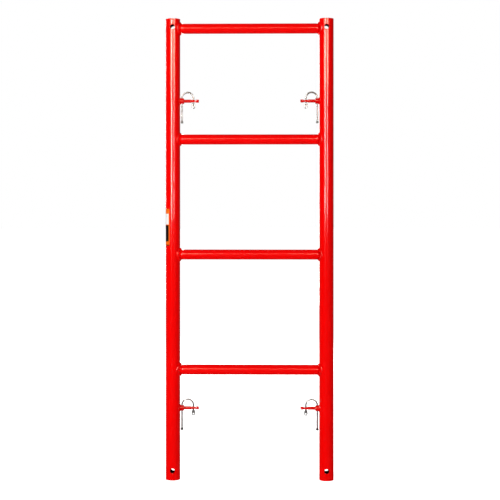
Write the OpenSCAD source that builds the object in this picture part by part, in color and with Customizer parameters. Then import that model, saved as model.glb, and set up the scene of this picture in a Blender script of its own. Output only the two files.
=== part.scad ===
// End frame of a narrow rolling scaffold: two round legs, four rungs, brace studs with drop locks.
// Millimetres, +Z up. X runs across the frame and Y through it from front to back.
// The origin is on the floor, midway between the two legs.

/* [Frame] */
// height of the legs
frame_h = 1371.6; // [1330:0.1:1520]
// distance between the centre lines of the legs
leg_pitch = 457.2; // [400:0.1:620]
// outside diameter of a leg tube
leg_d = 42.9; // [40:0.1:48.3]
// wall thickness of a leg tube
leg_wall = 2.4; // [2:0.1:3.2]
// small bevel on the outer rim of each leg end
leg_bevel = 0.4; // [0.2:0.1:0.8]

/* [Rungs] */
// outside diameter of a rung tube
rung_d = 30; // [26:0.1:34]
// wall thickness of a rung tube
rung_wall = 2.1; // [1.6:0.1:3]
// height of the lowest rung's centre line above the floor
rung_low_z = 327; // [324:0.1:360]
// spacing of the three lower rungs
rung_pitch = 342.9; // [330:0.1:350]
// drop from the leg tops to the top rung's centre line
rung_top_drop = 28.6; // [26:0.1:60]
// radius of the weld run round each rung end
rung_bead_r = 5; // [4:0.1:7]
// layers that round off a weld run
bead_layers = 4; // [2:1:6]

/* [Cross holes] */
// diameter of the front-to-back locking holes in the legs
pin_hole_d = 14.3; // [10:0.1:16]
// drop from the leg tops to the upper locking holes
pin_hole_top = 25.4; // [20:0.1:32]
// height of the lower locking holes above the floor
pin_hole_low = 28.6; // [20:0.1:40]
// distance that the weld runs keep from the locking holes, across the frame
hole_clear = 0.4; // [0.2:0.1:2]

/* [Brace studs] */
// height of the lower brace studs above the floor
stud_low_z = 212.7; // [200:0.1:216]
// distance between the lower and the upper brace studs
stud_pitch = 914.4; // [911:0.1:925]
// diameter of a stud
stud_d = 9.5; // [9:0.1:10.5]
// length of a stud's round head beyond its waist
head_len = 5.9; // [4:0.1:12]
// bevel at a stud's tip
stud_bevel = 0.9; // [0.4:0.1:1.4]
// how much slimmer the slotted part is than the shank that carries a brace, all round
slot_step = 0.2; // [0.15:0.05:0.3]
// depth of the shallow waist behind a stud's head
waist_depth = 0.5; // [0.2:0.1:0.8]
// diameter of the collar at a stud's root
collar_d = 17; // [16:0.1:18]
// distance from the leg's surface to the collar's face
collar_len = 11.5; // [11:0.1:13]
// radius of the weld run round each collar
stud_bead_r = 2.3; // [1.8:0.1:2.5]

/* [Drop locks] */
// diameter of the lock wire
wire_d = 4.8; // [4.4:0.1:5]
// play of the wire in the collar's hole and in the stud's slot, on each side
wire_play = 0.4; // [0.3:0.05:0.5]
// distance from the leg's surface to the lock's long strand
strand_x = 5.6; // [5.5:0.1:5.9]
// spacing of the lock's two strands
strand_gap = 34; // [32:0.1:35]
// height of the lock's bend centre above the top of the collar
bend_rise = 0.3; // [0.2:0.1:2.5]
// depth of the long strand's foot below the stud's centre line
foot_drop = 66.4; // [60:0.1:72]
// width of the flattened foot that keeps the wire in its collar
foot_w = 8; // [7:0.1:8.4]
// height of the flattened foot
foot_h = 7; // [5:0.1:9]
// thickness of the flattened foot and of the flattened tip
flat_t = 3.2; // [2.4:0.1:3.8]
// width of the flattened tip that hangs below the stud
tip_w = 10.2; // [8:0.1:10.6]
// depth of the tip's end below the stud's centre line
tip_drop = 22.5; // [20:0.1:26]
// diameter of the round hole in the tip
tip_hole_d = 4.4; // [3:0.1:5]

/* [Sticker] */
// height of the sticker's lower edge above the floor
sticker_z = 697; // [690:0.1:720]
// height of the sticker
sticker_h = 109; // [80:1:140]
// how far the sticker wraps round the left leg, in degrees
sticker_wrap = 132; // [90:1:150]
// thickness of the sticker
sticker_t = 0.2; // [0.15:0.01:0.4]

/* [Hidden] */
$fn = 64;
leg_r = leg_d / 2;
leg_x = leg_pitch / 2;
rung_r = rung_d / 2;
rung_top_z = frame_h - rung_top_drop;
rung_heights = [rung_low_z, rung_low_z + rung_pitch, rung_low_z + 2 * rung_pitch, rung_top_z];
stud_high_z = stud_low_z + stud_pitch;
slot_w = wire_d + 2 * wire_play;
tip_x = strand_x + strand_gap;
slot_len = tip_w + 2.8;
bend_z = collar_d / 2 + bend_rise;
waist_x = tip_x + 5;
waist_half = 5.5;
stud_len = waist_x + waist_half + head_len;
paint = [0.86, 0.02, 0.02];
weld_red = [0.74, 0.03, 0.03];
zinc = [0.74, 0.75, 0.77];
label = [0.95, 0.42, 0.08];

// Puts a child that was drawn for the left leg, its origin on that leg's centre line, where it belongs.
// side is -1 for the left leg and 1 for the right leg, which is the left one mirrored.
module on_leg(side, z) {
    translate([side * leg_x, 0, z])
        mirror([side > 0 ? 1 : 0, 0, 0])
            children();
}

// A round leg: an open tube with bevelled rims and a cross hole near each end.
module leg(side) {
    color(paint)
        on_leg(side, 0)
            difference() {
                rotate_extrude()
                    polygon([
                        [leg_r - leg_wall, 0],
                        [leg_r - leg_bevel, 0],
                        [leg_r, leg_bevel],
                        [leg_r, frame_h - leg_bevel],
                        [leg_r - leg_bevel, frame_h],
                        [leg_r - leg_wall, frame_h]
                    ]);
                for (z = [pin_hole_low, frame_h - pin_hole_top])
                    translate([0, 0, z])
                        rotate([90, 0, 0])
                            cylinder(d = pin_hole_d, h = 2 * leg_d, center = true);
            }
}

// A rung: a tube whose ends are cut to a saddle that sits on the round legs.
module rung(z) {
    color(paint)
        translate([0, 0, z])
            difference() {
                rotate([0, 90, 0])
                    cylinder(r = rung_r, h = leg_pitch, center = true);
                rotate([0, 90, 0])
                    cylinder(r = rung_r - rung_wall, h = leg_pitch + 2, center = true);
                for (side = [-1, 1])
                    translate([side * leg_x, 0, 0])
                        cylinder(r = leg_r, h = 2 * rung_d, center = true);
            }
}

// A weld run where a round bar of radius bar_r, pointing along +X, meets the leg's surface.
// It follows the saddle line: each layer lies within one distance of the leg and one of the bar,
// and the layers together round the run off. It stops short of the leg's locking holes.
module weld_run(bar_r, bead_r) {
    reach = 4 * bar_r + 4 * bead_r;
    color(weld_red)
        difference() {
            union()
                for (i = [0 : bead_layers - 1]) {
                    turn = (i + 0.5) * 90 / bead_layers;
                    intersection() {
                        cylinder(r = leg_r + bead_r * sin(turn), h = reach, center = true);
                        rotate([0, 90, 0])
                            cylinder(r = bar_r + bead_r * cos(turn), h = reach);
                    }
                }
            cylinder(r = leg_r, h = reach + 2, center = true);
            rotate([0, 90, 0])
                cylinder(r = bar_r, h = reach + 2);
            translate([pin_hole_d / 2 + hole_clear - leg_d, -reach / 2, -reach / 2])
                cube([leg_d, reach, reach]);
        }
}

// Outline of one stud, turned about its own axis: collar, shank, slotted part, waist and bevelled head.
module stud_outline() {
    r = stud_d / 2;
    slim = r - slot_step;
    slot_x = tip_x - slot_len / 2;
    polygon([
        [0, 0],
        [collar_d / 2, 0],
        [collar_d / 2, leg_r + collar_len - 0.8],
        [collar_d / 2 - 0.8, leg_r + collar_len],
        [r, leg_r + collar_len],
        [r, leg_r + slot_x - 0.6],
        [slim, leg_r + slot_x],
        [slim, leg_r + waist_x - waist_half],
        [slim - waist_depth, leg_r + waist_x - 1.5],
        [slim - waist_depth, leg_r + waist_x + 1.5],
        [slim, leg_r + waist_x + waist_half],
        [slim, leg_r + stud_len - stud_bevel],
        [slim - stud_bevel, leg_r + stud_len],
        [0, leg_r + stud_len]
    ]);
}

// A brace stud with its collar, the hole that guides the lock wire and the slot that its tip drops into.
module stud(side, z) {
    color(paint)
        on_leg(side, z)
            difference() {
                rotate([0, 90, 0])
                    rotate_extrude()
                        stud_outline();
                cylinder(r = leg_r, h = 2 * collar_d, center = true);
                translate([leg_r + strand_x, 0, 0])
                    cylinder(d = slot_w, h = 2 * collar_d, center = true);
                translate([leg_r + tip_x, 0, 0])
                    linear_extrude(height = 2 * stud_d, center = true)
                        square([slot_len, slot_w], center = true);
            }
}

// Front outline of the flattened tip: narrow shoulders, straight sides and a round end.
module tip_outline() {
    end_z = tip_w / 2 - tip_drop;
    difference() {
        union() {
            polygon([
                [-wire_d / 2, -stud_d / 2 + 1],
                [-wire_d / 2, -stud_d / 2 - 1],
                [-tip_w / 2, -stud_d / 2 - 5],
                [-tip_w / 2, end_z],
                [tip_w / 2, end_z],
                [tip_w / 2, -stud_d / 2 - 5],
                [wire_d / 2, -stud_d / 2 - 1],
                [wire_d / 2, -stud_d / 2 + 1]
            ]);
            translate([0, end_z])
                circle(d = tip_w);
        }
        translate([0, end_z])
            circle(d = tip_hole_d);
    }
}

// Front outline of the flattened foot on the long strand.
module foot_outline() {
    low = -foot_drop;
    polygon([
        [-wire_d / 2 + 0.4, low],
        [-foot_w / 2, low + 1.4],
        [-foot_w / 2, low + foot_h - 1.6],
        [-wire_d / 2, low + foot_h],
        [wire_d / 2, low + foot_h],
        [foot_w / 2, low + foot_h - 1.6],
        [foot_w / 2, low + 1.4],
        [wire_d / 2 - 0.4, low]
    ]);
}

// A drop lock: one bent wire with a long guided strand, a half-round bend and a short strand with its tip.
module lock(side, z) {
    color(zinc)
        on_leg(side, z)
            translate([leg_r, 0, 0])
                union() {
                    translate([strand_x, 0, -foot_drop + foot_h - 1])
                        cylinder(d = wire_d, h = foot_drop - foot_h + 1 + bend_z);
                    translate([strand_x + strand_gap / 2, 0, bend_z])
                        rotate([90, 0, 0])
                            rotate_extrude(angle = 180)
                                translate([strand_gap / 2, 0])
                                    circle(d = wire_d);
                    translate([tip_x, 0, -stud_d / 2 - 1])
                        cylinder(d = wire_d, h = stud_d / 2 + 1 + bend_z);
                    translate([tip_x, 0, 0])
                        rotate([90, 0, 0])
                            linear_extrude(height = flat_t, center = true)
                                tip_outline();
                    translate([strand_x, 0, 0])
                        rotate([90, 0, 0])
                            linear_extrude(height = flat_t, center = true)
                                foot_outline();
                }
}

// A thin printed sticker wrapped round the outer side of the left leg.
module sticker() {
    color(label)
        translate([-leg_x, 0, sticker_z])
            rotate([0, 0, 180 - sticker_wrap / 2])
                rotate_extrude(angle = sticker_wrap)
                    translate([leg_r, 0])
                        square([sticker_t, sticker_h]);
}

leg(-1);  // left_leg
leg(1);  // right_leg
rung(rung_heights[0]);  // rung_1
rung(rung_heights[1]);  // rung_2
rung(rung_heights[2]);  // rung_3
rung(rung_heights[3]);  // rung_4
on_leg(-1, rung_heights[0]) weld_run(rung_r, rung_bead_r);  // weld_left_1
on_leg(-1, rung_heights[1]) weld_run(rung_r, rung_bead_r);  // weld_left_2
on_leg(-1, rung_heights[2]) weld_run(rung_r, rung_bead_r);  // weld_left_3
on_leg(-1, rung_heights[3]) weld_run(rung_r, rung_bead_r);  // weld_left_4
on_leg(1, rung_heights[0]) weld_run(rung_r, rung_bead_r);  // weld_right_1
on_leg(1, rung_heights[1]) weld_run(rung_r, rung_bead_r);  // weld_right_2
on_leg(1, rung_heights[2]) weld_run(rung_r, rung_bead_r);  // weld_right_3
on_leg(1, rung_heights[3]) weld_run(rung_r, rung_bead_r);  // weld_right_4
stud(-1, stud_low_z);  // stud_lower_left
stud(1, stud_low_z);  // stud_lower_right
stud(-1, stud_high_z);  // stud_upper_left
stud(1, stud_high_z);  // stud_upper_right
on_leg(-1, stud_low_z) weld_run(collar_d / 2, stud_bead_r);  // stud_weld_lower_left
on_leg(1, stud_low_z) weld_run(collar_d / 2, stud_bead_r);  // stud_weld_lower_right
on_leg(-1, stud_high_z) weld_run(collar_d / 2, stud_bead_r);  // stud_weld_upper_left
on_leg(1, stud_high_z) weld_run(collar_d / 2, stud_bead_r);  // stud_weld_upper_right
lock(-1, stud_low_z);  // lock_lower_left
lock(1, stud_low_z);  // lock_lower_right
lock(-1, stud_high_z);  // lock_upper_left
lock(1, stud_high_z);  // lock_upper_right
sticker();
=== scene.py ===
"""Looks of a narrow scaffold's end frame.

Two round legs, four rungs, rippled weld runs, brace studs, wire drop locks and a sticker are built
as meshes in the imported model's own frame, dressed with node-based finishes and set on a pale floor.
"""

import logging
import math
from abc import ABC, abstractmethod
from collections.abc import Callable, Sequence
from dataclasses import dataclass, field
from enum import Enum
from typing import ClassVar

import bmesh
import bpy
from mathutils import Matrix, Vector


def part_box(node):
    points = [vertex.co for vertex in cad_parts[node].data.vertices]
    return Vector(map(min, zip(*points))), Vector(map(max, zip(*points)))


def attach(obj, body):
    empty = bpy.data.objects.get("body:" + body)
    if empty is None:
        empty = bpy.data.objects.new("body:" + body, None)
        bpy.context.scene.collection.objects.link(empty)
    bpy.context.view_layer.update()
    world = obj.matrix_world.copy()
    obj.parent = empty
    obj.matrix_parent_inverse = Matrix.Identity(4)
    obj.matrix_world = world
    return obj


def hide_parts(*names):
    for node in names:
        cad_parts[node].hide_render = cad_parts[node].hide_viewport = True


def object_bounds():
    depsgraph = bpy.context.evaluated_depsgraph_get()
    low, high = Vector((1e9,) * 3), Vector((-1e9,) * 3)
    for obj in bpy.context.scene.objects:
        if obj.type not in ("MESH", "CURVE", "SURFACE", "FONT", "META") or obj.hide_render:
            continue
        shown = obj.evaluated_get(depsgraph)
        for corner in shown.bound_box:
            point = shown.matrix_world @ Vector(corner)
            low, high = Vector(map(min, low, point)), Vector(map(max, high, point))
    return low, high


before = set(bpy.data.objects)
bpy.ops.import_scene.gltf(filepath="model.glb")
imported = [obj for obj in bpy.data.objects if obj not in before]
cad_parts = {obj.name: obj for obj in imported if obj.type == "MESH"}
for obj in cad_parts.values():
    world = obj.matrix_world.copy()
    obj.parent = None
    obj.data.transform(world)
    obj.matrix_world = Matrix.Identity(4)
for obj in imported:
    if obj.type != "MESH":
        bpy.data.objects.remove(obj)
CAD_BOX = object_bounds()

LOG = logging.getLogger("end_frame")
MM = 0.001
CLOSEST = 0.02 * MM
ENAMEL_IOR = 1.45
MIRRORED_BACK = 0.08
RIM = "rim"
LINING = "lining"
PRINT_UP = "print_up"
PRINT_ACROSS = "print_across"

Place = Callable[[float, float, float], Vector]
Colour = tuple[float, float, float]
Loop = Sequence[bmesh.types.BMVert]
WHITE: Colour = (1.0, 1.0, 1.0)


class Side(Enum):
    """The two legs. The value is the sign of the leg's place across the frame."""

    LEFT = -1
    RIGHT = 1

    @property
    def word(self) -> str:
        """The side's name as the frame's nodes spell it."""
        return self.name.lower()


class Level(Enum):
    """The two heights at which the legs carry a brace stud and its drop lock."""

    LOWER = "lower"
    UPPER = "upper"


class Band(Enum):
    """The printed bands of the sticker: lower edge and upper edge, as shares of its height."""

    FOOT_LINE = (0.0, 0.022)
    BLACK_PANEL = (0.115, 0.555)
    WHITE_PANEL = (0.575, 0.865)


# ---------------------------------------------------------------------------------------------
# Shapes: a ring-by-ring skin that holes can be drilled through
# ---------------------------------------------------------------------------------------------


@dataclass(frozen=True)
class Ring:
    """One ring of a skin.

    Its place along the skin's axis, its half width and half depth, its squareness (2 is an
    ellipse), and how far it counts as a rim that handling wears.
    """

    along: float
    half_width: float
    half_depth: float
    power: float = 2.0
    rim: float = 0.0

    def mixed(self, other: "Ring", share: float) -> "Ring":
        """Finds the ring that lies part of the way to another one.

        Args:
            other: the other ring.
            share: how much of the way.

        Returns:
            The ring between them.
        """
        return Ring(
            self.along + (other.along - self.along) * share,
            self.half_width + (other.half_width - self.half_width) * share,
            self.half_depth + (other.half_depth - self.half_depth) * share,
            self.power + (other.power - self.power) * share,
            self.rim + (other.rim - self.rim) * share,
        )

    def depth(self, across: float) -> float:
        """Half depth of the ring at a distance across from its middle."""
        share = min(1.0, abs(across) / self.half_width)
        return self.half_depth * (1.0 - share**self.power) ** (1.0 / self.power)


@dataclass(frozen=True)
class Hole:
    """A hole drilled through a skin along its depth, with rounded corners and a softened rim."""

    along: float
    half_length: float
    half_width: float
    corner: float
    rim: float
    patch_length: float
    patch_columns: int
    halvings: ClassVar[int] = 34

    def outline(self, run: float, across: float, grow: float) -> tuple[float, float]:
        """Finds where the line from the hole's middle towards a point meets the hole's edge.

        Args:
            run: the point's distance from the middle along the skin.
            across: the point's distance from the middle across the skin.
            grow: how far outside the finished edge the line is stopped.

        Returns:
            The meeting point, as its distances along and across from the middle.
        """
        low, high = 0.0, 1.0
        inner_run, inner_across = self.half_length - self.corner, self.half_width - self.corner
        for _ in range(self.halvings):
            share = (low + high) / 2
            over_run = abs(run * share) - inner_run
            over_across = abs(across * share) - inner_across
            outside = math.hypot(max(over_run, 0.0), max(over_across, 0.0))
            inside = min(max(over_run, over_across), 0.0)
            if outside + inside < self.corner + grow:
                low = share
            else:
                high = share
        return run * low, across * low


def bridge(mesh: bmesh.types.BMesh, one: Loop, other: Loop, closed: bool = True) -> None:
    """Weaves a band of faces between two rows of as many vertices.

    Args:
        mesh: the mesh to build in.
        one: the vertices along one side of the band.
        other: the vertices along its other side, in the same order.
        closed: whether the rows are loops, so that the band runs all the way round.
    """
    for k in range(len(one) if closed else len(one) - 1):
        n = (k + 1) % len(one)
        mesh.faces.new((one[k], one[n], other[n], other[k]))


class Skin:
    """A surface made of rings round an axis, with holes drilled through it along its depth.

    A hole's patch is filled with rings of vertices that go from its square border to the hole's
    edge: first by shares of the way, then over the hole's rim, by shares of the rim's softness
    that they stay outside the edge and lie below the surface.
    """

    shares: ClassVar[tuple[float, ...]] = (0.3, 0.58, 0.82, 1.0)
    rim_steps: ClassVar[tuple[tuple[float, float], ...]] = ((0.3, 0.3), (0.0, 1.0))

    def __init__(self, mesh: bmesh.types.BMesh, rings: Sequence[Ring], columns: int, place: Place,
                 holes: Sequence[Hole] = ()) -> None:
        """Builds the surface and the rings of vertices round each hole.

        Args:
            mesh: the mesh to build in.
            rings: the rings, from one end to the other.
            columns: points on each ring, a multiple of four.
            place: turns (along, across, depth) into a point of the frame.
            holes: the holes to drill, each through both faces.
        """
        self.mesh = mesh
        self.rings = list(rings)
        self.columns = columns
        self.place = place
        self.rim_layer = mesh.verts.layers.float.get(RIM) or mesh.verts.layers.float.new(RIM)
        self.patches = [(hole, face, *self._reach(hole), columns // 4 if face > 0 else 3 * columns // 4)
                        for hole in holes for face in (1, -1)]
        self.grid: dict[tuple[int, int], bmesh.types.BMVert] = {}
        self.count = 0
        self._weave()
        self.edges: dict[tuple[int, int], list[bmesh.types.BMVert]] = {}
        for number, patch in enumerate(self.patches):
            self.edges[(number // 2, patch[1])] = self._drill(*patch)

    def _reach(self, hole: Hole) -> tuple[int, int]:
        """Finds how far the patch round a hole goes.

        Args:
            hole: the hole.

        Returns:
            The numbers of its first and its last ring.
        """
        near = [i for i, ring in enumerate(self.rings)
                if abs(ring.along - hole.along) <= hole.patch_length + 1e-7]
        return near[0], near[-1]

    def _add(self, point: Vector, rim: float) -> bmesh.types.BMVert:
        """Adds a vertex.

        Args:
            point: where it lies.
            rim: how far it counts as a rim.

        Returns:
            The new vertex.
        """
        vert = self.mesh.verts.new(point)
        vert[self.rim_layer] = rim
        self.count += 1
        return vert

    def _across(self, ring: Ring, column: int) -> tuple[float, float]:
        """Places one point of a ring.

        Args:
            ring: the ring.
            column: the point's number round it.

        Returns:
            The point's distances across and in depth from the axis.
        """
        turn = 2 * math.pi * (column % self.columns) / self.columns
        cos, sin = math.cos(turn), math.sin(turn)
        share = 2.0 / ring.power
        return (math.copysign(abs(cos) ** share * ring.half_width, cos),
                math.copysign(abs(sin) ** share * ring.half_depth, sin))

    def _inside(self, i: int, j: int) -> bool:
        """Whether a grid point lies strictly inside a hole's patch."""
        return any(first < i < last and abs(j - middle) < hole.patch_columns
                   for hole, _, first, last, middle in self.patches)

    def _weave(self) -> None:
        """Makes the grid of vertices and the faces outside the patches."""
        for i, ring in enumerate(self.rings):
            for j in range(self.columns):
                if not self._inside(i, j):
                    across, depth = self._across(ring, j)
                    self.grid[i, j] = self._add(self.place(ring.along, across, depth), ring.rim)
        for i in range(len(self.rings) - 1):
            for j in range(self.columns):
                if any(first <= i < last and -hole.patch_columns <= j - middle < hole.patch_columns
                       for hole, _, first, last, middle in self.patches):
                    continue
                k = (j + 1) % self.columns
                self.mesh.faces.new((self.grid[i, j], self.grid[i, k],
                                     self.grid[i + 1, k], self.grid[i + 1, j]))

    def _ring_at(self, along: float, first: int, last: int) -> Ring:
        """Finds the ring at a place between two rings of the grid.

        Args:
            along: the place along the axis.
            first: the first ring to look from.
            last: the last ring to look to.

        Returns:
            The ring there, mixed from its neighbours.
        """
        for a, b in zip(self.rings[first:last], self.rings[first + 1:last + 1]):
            if a.along - 1e-9 <= along <= b.along + 1e-9 and b.along > a.along:
                return a.mixed(b, (along - a.along) / (b.along - a.along))
        return self.rings[last]

    def _drill(self, hole: Hole, face: int, first: int, last: int,
               middle: int) -> list[bmesh.types.BMVert]:
        """Fills the patch round a hole.

        Args:
            hole: the hole.
            face: 1 for the face with positive depth, -1 for the other.
            first: the patch's first ring.
            last: the patch's last ring.
            middle: the patch's middle column.

        Returns:
            The vertices of the finished edge, in the same order on both faces.
        """
        columns = sorted(range(middle - hole.patch_columns, middle + hole.patch_columns + 1),
                         key=lambda j: self._across(self.rings[first], j)[0])
        border = [(first, j) for j in columns]
        border += [(i, columns[-1]) for i in range(first + 1, last)]
        border += [(last, j) for j in reversed(columns)]
        border += [(i, columns[0]) for i in range(last - 1, first, -1)]
        loop = [self.grid[i, j] for i, j in border]
        offsets = [(self.rings[i].along - hole.along, self._across(self.rings[i], j)[0]) for i, j in border]
        steps = [(share, hole.rim, 0.0) for share in self.shares]
        steps += [(1.0, hole.rim * grow, hole.rim * sink) for grow, sink in self.rim_steps]
        for share, grow, sink in steps:
            fresh = []
            for run, across in offsets:
                edge_run, edge_across = hole.outline(run, across, grow)
                a = run + (edge_run - run) * share
                t = across + (edge_across - across) * share
                ring = self._ring_at(hole.along + a, first, last)
                depth = face * (ring.depth(t) - sink)
                fresh.append(self._add(self.place(hole.along + a, t, depth), 1.0 if share == 1.0 else 0.0))
            bridge(self.mesh, loop, fresh)
            loop = fresh
        return loop

    def wall_holes(self) -> None:
        """Gives each hole its wall, from the edge on one face to the edge on the other."""
        for number in range(len(self.patches) // 2):
            bridge(self.mesh, self.edges[number, 1], self.edges[number, -1])

    def end(self, index: int) -> list[bmesh.types.BMVert]:
        """The vertices of the first ring (index 0) or the last (index -1)."""
        i = index % len(self.rings)
        return [self.grid[i, j] for j in range(self.columns)]

    def close(self) -> None:
        """Closes both ends with a fan of faces to their middle."""
        for loop in (self.end(0), self.end(-1)):
            hub = self._add(sum((v.co for v in loop), Vector()) / len(loop), 0.0)
            for k, vert in enumerate(loop):
                self.mesh.faces.new((vert, loop[(k + 1) % len(loop)], hub))


def spaced(keys: Sequence[Ring], step: float, holes: Sequence[Hole] = (),
           patch_rings: int = 16) -> list[Ring]:
    """Fills a list of key rings with evenly spaced ones, and with close ones round each hole.

    Args:
        keys: the rings that give the outline its corners.
        step: the spacing away from holes, in metres.
        holes: the holes whose patches need rings of their own.
        patch_rings: spaces between rings in each patch.

    Returns:
        The keys with the new rings between them.
    """
    start, stop = keys[0].along, keys[-1].along
    wanted = [start + step * k for k in range(1, int((stop - start) / step) + 1)]
    for hole in holes:
        wanted = [w for w in wanted if abs(w - hole.along) > hole.patch_length + step * 0.3]
    for hole in holes:
        wanted += [hole.along + hole.patch_length * (2 * k / patch_rings - 1)
                   for k in range(patch_rings + 1)]
    wanted.sort()
    made: list[Ring] = []
    for a, b in zip(keys, keys[1:]):
        made.append(a)
        span = b.along - a.along
        if span > 2.5 * CLOSEST:
            made += [a.mixed(b, (w - a.along) / span) for w in wanted
                     if a.along + CLOSEST < w < b.along - CLOSEST]
    made.append(keys[-1])
    return made


def finished(mesh: bmesh.types.BMesh, name: str, material: bpy.types.Material) -> bpy.types.Object:
    """Turns a built mesh into a smooth-shaded object with one material.

    Args:
        mesh: the built mesh, which is freed.
        name: the object's name.
        material: its finish.

    Returns:
        The new object, linked to the scene.
    """
    bmesh.ops.recalc_face_normals(mesh, faces=mesh.faces)
    data = bpy.data.meshes.new(name)
    mesh.to_mesh(data)
    mesh.free()
    data.materials.append(material)
    data.shade_smooth()
    made = bpy.data.objects.new(name, data)
    bpy.context.scene.collection.objects.link(made)
    return made


# ---------------------------------------------------------------------------------------------
# Finishes
# ---------------------------------------------------------------------------------------------


@dataclass
class Effect:
    """A shader node group with named sockets, built once and placed in several materials."""

    name: str
    inputs: dict[str, float]
    outputs: dict[str, str]
    tree: bpy.types.ShaderNodeTree = field(init=False)

    def __post_init__(self) -> None:
        """Makes the empty group and its sockets."""
        self.tree = bpy.data.node_groups.new(self.name, "ShaderNodeTree")
        for label, value in self.inputs.items():
            socket = self.tree.interface.new_socket(label, in_out="INPUT", socket_type="NodeSocketFloat")
            socket.default_value = value
        for label, kind in self.outputs.items():
            self.tree.interface.new_socket(label, in_out="OUTPUT", socket_type=kind)
        self.entry = self.tree.nodes.new("NodeGroupInput")
        self.exit = self.tree.nodes.new("NodeGroupOutput")


class Wiring:
    """Short ways to add nodes to one tree and to join them."""

    def __init__(self, tree: bpy.types.NodeTree) -> None:
        """Keeps the tree that the nodes go into."""
        self.tree = tree

    def node(self, kind: str, **settings: object) -> bpy.types.Node:
        """Adds a node.

        Args:
            kind: the node's type.
            settings: its properties by name.

        Returns:
            The new node.
        """
        made = self.tree.nodes.new(kind)
        for key, value in settings.items():
            setattr(made, key, value)
        return made

    def link(self, source: bpy.types.NodeSocket, target: bpy.types.NodeSocket) -> None:
        """Joins two sockets."""
        self.tree.links.new(source, target)

    def feed(self, value: object, target: bpy.types.NodeSocket) -> None:
        """Gives a socket its value.

        Args:
            value: a socket to link, or a plain number or colour to set.
            target: the socket that takes it.
        """
        if isinstance(value, bpy.types.NodeSocket):
            self.link(value, target)
        else:
            target.default_value = value

    def math(self, operation: str, *values: object) -> bpy.types.NodeSocket:
        """Works out a number.

        Args:
            operation: the Math node's operation.
            values: one to three sockets or numbers.

        Returns:
            The result's socket.
        """
        made = self.node("ShaderNodeMath", operation=operation)
        for value, target in zip(values, made.inputs):
            self.feed(value, target)
        return made.outputs[0]

    def noise(self, vector: bpy.types.NodeSocket, scale: object, detail: float = 2.0,
              rough: float = 0.5) -> bpy.types.NodeSocket:
        """Adds a noise texture.

        Args:
            vector: the coordinates.
            scale: the noise's scale.
            detail: how many finer layers it has.
            rough: how strong those layers are.

        Returns:
            The noise's value.
        """
        made = self.node("ShaderNodeTexNoise")
        self.link(vector, made.inputs["Vector"])
        self.feed(scale, made.inputs["Scale"])
        made.inputs["Detail"].default_value = detail
        made.inputs["Roughness"].default_value = rough
        return made.outputs["Fac"]

    def ramp(self, value: object, low: object, high: object, to_low: object = 0.0,
             to_high: object = 1.0) -> bpy.types.NodeSocket:
        """Carries a value smoothly from one range to another.

        Args:
            value: the value.
            low: where its own range starts.
            high: where its own range ends.
            to_low: what the start becomes.
            to_high: what the end becomes.

        Returns:
            The new value.
        """
        made = self.node("ShaderNodeMapRange", interpolation_type="SMOOTHSTEP")
        for item, label in zip((value, low, high, to_low, to_high),
                               ("Value", "From Min", "From Max", "To Min", "To Max")):
            self.feed(item, made.inputs[label])
        return made.outputs["Result"]

    def mix(self, share: object, one: object, other: object) -> bpy.types.NodeSocket:
        """Mixes two colours.

        Args:
            share: how much of the other colour there is.
            one: the first colour, or its socket.
            other: the other colour, or its socket.

        Returns:
            The mixed colour.
        """
        made = self.node("ShaderNodeMix", data_type="RGBA")
        self.feed(share, made.inputs[0])
        for value, target in ((one, made.inputs[6]), (other, made.inputs[7])):
            self.feed((*value, 1.0) if isinstance(value, tuple) and len(value) == 3 else value, target)
        return made.outputs[2]

    def stretched(self, scale: tuple[float, float, float] = (1.0, 1.0, 1.0)) -> bpy.types.NodeSocket:
        """Gives the object's own coordinates.

        Args:
            scale: how far they are stretched along each axis.

        Returns:
            The coordinates.
        """
        place = self.node("ShaderNodeTexCoord")
        turn = self.node("ShaderNodeMapping")
        turn.inputs["Scale"].default_value = scale
        self.link(place.outputs["Object"], turn.inputs["Vector"])
        return turn.outputs["Vector"]

    def attribute(self, name: str) -> bpy.types.NodeSocket:
        """The value that a mesh carries under a name."""
        return self.node("ShaderNodeAttribute", attribute_name=name).outputs["Fac"]

    def bump(self, height: bpy.types.NodeSocket, strength: float, depth: float) -> bpy.types.NodeSocket:
        """Turns a height into a normal.

        Args:
            height: the height.
            strength: how strongly it shows.
            depth: how far a height of 1 rises, in metres.

        Returns:
            The normal.
        """
        made = self.node("ShaderNodeBump")
        made.inputs["Strength"].default_value = strength
        made.inputs["Distance"].default_value = depth
        self.link(height, made.inputs["Height"])
        return made.outputs["Normal"]

    def place(self, effect: Effect, **values: float) -> bpy.types.Node:
        """Places an effect in this tree.

        Args:
            effect: the node group.
            values: its inputs by name, with _ for a space.

        Returns:
            The group's node.
        """
        made = self.node("ShaderNodeGroup", node_tree=effect.tree)
        for label, value in values.items():
            made.inputs[label.replace("_", " ")].default_value = value
        return made


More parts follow.
